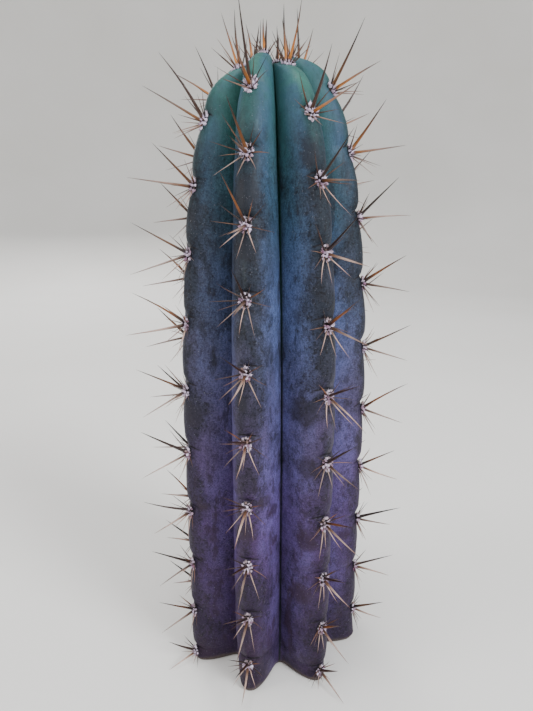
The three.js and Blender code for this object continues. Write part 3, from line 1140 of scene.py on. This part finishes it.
# Colours of the cut face by share of FACE_SPAN from its middle
FACE_SPAN = 0.03
FACE_BANDS = [
    (0, FACE_PITH),
    (0.27, FACE_PITH),
    (0.32, FACE_WOOD),
    (0.38, FACE_FLESH),
    (0.8, FACE_FLESH),
    (1, FACE_EDGE),
]
FACE_NOISE = (260, 4)
FACE_DRIFT = 0.005
FIBRES = (1600, 3), (0.45, 0.7, 0, 0.45)
FIBRE_SHADE = (0.55, 0.5, 0.45, 1)
FACE_BUMP_NOISE = (700, 5, 0.65)
FACE_BUMP = (0.0005, 0.7)

SPINE_MOTTLE = (900, 3), (0.35, 0.75, 0, 0.4)
SPINE_MOTTLE_SHADE = (0.6, 0.52, 0.48, 1)
SPINE_BUMP_NOISE = (3500, 2)
SPINE_BUMP = (0.00004, 0.6)
SPINE_ROUGHNESS = (1200, 2), (0.3, 0.7, 0.28, 0.5)

MATTED = (2400, 3), (0.4, 0.75, 0, 0.4)
MATTED_SHADE = (0.62, 0.55, 0.58, 1)
WOOL_BUMP_NOISE = (6000, 2)
WOOL_BUMP = (0.0001, 0.7)


def cut_face_material():
    """Dried callus with a pale pith, a ring of woody strands and greyish flesh."""
    nodes = Nodes("cut_face")
    place = nodes.place()
    flat = nodes.stretched(place, (1, 1, 0))
    radius = nodes.add("ShaderNodeVectorMath", {0: flat}, operation="LENGTH").outputs["Value"]
    drift = nodes.math("SUBTRACT", nodes.noise(place, *FACE_NOISE), 0.5)
    drifted = nodes.math("ADD", radius, nodes.math("MULTIPLY", drift, FACE_DRIFT))
    colour = nodes.ramp(nodes.math("DIVIDE", drifted, FACE_SPAN), FACE_BANDS)
    colour = nodes.darkened(nodes.pattern(place, *FIBRES), colour, FIBRE_SHADE)
    normal = nodes.bump(nodes.noise(place, *FACE_BUMP_NOISE), *FACE_BUMP)
    return nodes.finish(Base_Color=colour, Roughness=0.85, Normal=normal)


def spine_material():
    """Horn, coloured from root to tip by each spine's own stops."""
    nodes = Nodes("spine_horn")
    place = nodes.place()
    colour = nodes.colour("spine_colour")
    colour = nodes.darkened(nodes.pattern(place, *SPINE_MOTTLE), colour, SPINE_MOTTLE_SHADE)
    normal = nodes.bump(nodes.noise(place, *SPINE_BUMP_NOISE), *SPINE_BUMP)
    rough = nodes.pattern(place, *SPINE_ROUGHNESS)
    return nodes.finish(Base_Color=colour, Roughness=rough, Normal=normal, Specular_IOR_Level=0.4)


def wool_material():
    """Matted wool, each lock in its own colour."""
    nodes = Nodes("areole_felt")
    place = nodes.place()
    colour = nodes.colour("wool_colour")
    colour = nodes.darkened(nodes.pattern(place, *MATTED), colour, MATTED_SHADE)
    normal = nodes.bump(nodes.noise(place, *WOOL_BUMP_NOISE), *WOOL_BUMP)
    return nodes.finish(Base_Color=colour, Roughness=0.9, Normal=normal, Sheen_Weight=0.25)


# Stage: a pale floor that turns up into a wall far away, soft lights and the camera

FLOOR_RADII = [0.3, 0.6, 0.9]
FLOOR_SIDES = 96
WALL_CURVE = 0.9
CURVE_STEPS = 24
WALL_HEIGHT = 1.9
FLOOR_NOISE = (4, 2)
FLOOR_TONES = [(0.3, srgb(226, 224, 220)), (0.7, srgb(232, 230, 227))]

# Lights: name, place, size, power and colour. All of them point at the middle of the stem.
LIGHT_TARGET = (0, 0, 0.1)
LIGHTS = [
    ("key", (0.85, -0.7, 0.8), 0.5, 18.5, (0.94, 0.97, 1)),
    ("fill", (-1.1, -0.3, 0.45), 0.6, 6, (1, 0.975, 0.95)),
    ("front", (-0.25, -1.1, 0.55), 0.7, 3.1, (0.98, 0.98, 1)),
    ("top", (-0.1, -0.1, 1.3), 0.5, 8, (0.97, 0.985, 1)),
    ("back", (-0.4, 1, 0.6), 0.5, 6, (1, 1, 1)),
]
WORLD_COLOUR = (0.93, 0.95, 1, 1)
WORLD_STRENGTH = 0.3

# Camera
CAMERA_PLACE = (-0.0013, -0.1722, 0.1537)
CAMERA_PITCH = 15.09
FOCAL_PIXELS = 533
IMAGE_HEIGHT = 711
SENSOR = 36
NEAREST_SEEN = 0.01


def floor_material():
    """Matt and pale, with a faint change of tone."""
    nodes = Nodes("pale_floor")
    tone = nodes.ramp(nodes.noise(nodes.place(), *FLOOR_NOISE), FLOOR_TONES)
    return nodes.finish(Base_Color=tone, Roughness=0.85)


def make_floor():
    """A round floor that turns up into a wall."""
    edge = FLOOR_RADII[-1]
    profile = [(radius, 0) for radius in FLOOR_RADII]
    for k in range(1, CURVE_STEPS + 1):
        turn = math.pi / 2 * k / CURVE_STEPS
        profile.append((edge + WALL_CURVE * math.sin(turn), WALL_CURVE * (1 - math.cos(turn))))
    profile.append((edge + WALL_CURVE, WALL_HEIGHT))
    turns = [2 * math.pi * k / FLOOR_SIDES for k in range(FLOOR_SIDES)]
    points = [(radius * math.cos(turn), radius * math.sin(turn), z)
              for radius, z in profile for turn in turns]
    faces = [tuple(range(FLOOR_SIDES))]
    for ring in range(len(profile) - 1):
        low = ring * FLOOR_SIDES
        faces += turned_band(low, low + FLOOR_SIDES, FLOOR_SIDES)
    floor = make_piece("floor", points, faces, [floor_material()])


def make_light(name, place, size, power, colour):
    """A soft round light."""
    data = bpy.data.lights.new(name, "AREA")
    data.shape = "DISK"
    data.size = size
    data.energy = power
    data.color = colour
    light = bpy.data.objects.new(name, data)
    light.location = place
    towards = Vector(LIGHT_TARGET) - Vector(place)
    light.rotation_euler = towards.to_track_quat("-Z", "Y").to_euler()
    bpy.context.scene.collection.objects.link(light)


def make_lights():
    """The lights of the table and the even light of the room."""
    for light in LIGHTS:
        make_light(*light)
    world = bpy.data.worlds.new("soft_room")
    world.use_nodes = True
    background = world.node_tree.nodes["Background"]
    background.inputs["Color"].default_value = WORLD_COLOUR
    background.inputs["Strength"].default_value = WORLD_STRENGTH
    bpy.context.scene.world = world


def make_camera():
    """The camera as it was fitted to the reference."""
    data = bpy.data.cameras.new("camera")
    data.sensor_width = SENSOR
    data.lens = FOCAL_PIXELS / IMAGE_HEIGHT * SENSOR
    data.clip_start = NEAREST_SEEN
    camera = bpy.data.objects.new("camera", data)
    camera.location = CAMERA_PLACE
    camera.rotation_euler = (math.radians(90 - CAMERA_PITCH), 0, 0)
    bpy.context.scene.collection.objects.link(camera)
    bpy.context.scene.camera = camera


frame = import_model()

make_camera()
make_lights()
make_floor()

stem = make_stem(skin_material(), cut_face_material())
spines = make_spines(spine_material())
wool = make_wool(wool_material())
for piece, slot in ((stem, "skin"), (spines, "spines"), (wool, "wool")):
    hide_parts(NODE)
    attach(piece, "root")

bpy.context.view_layer.update()
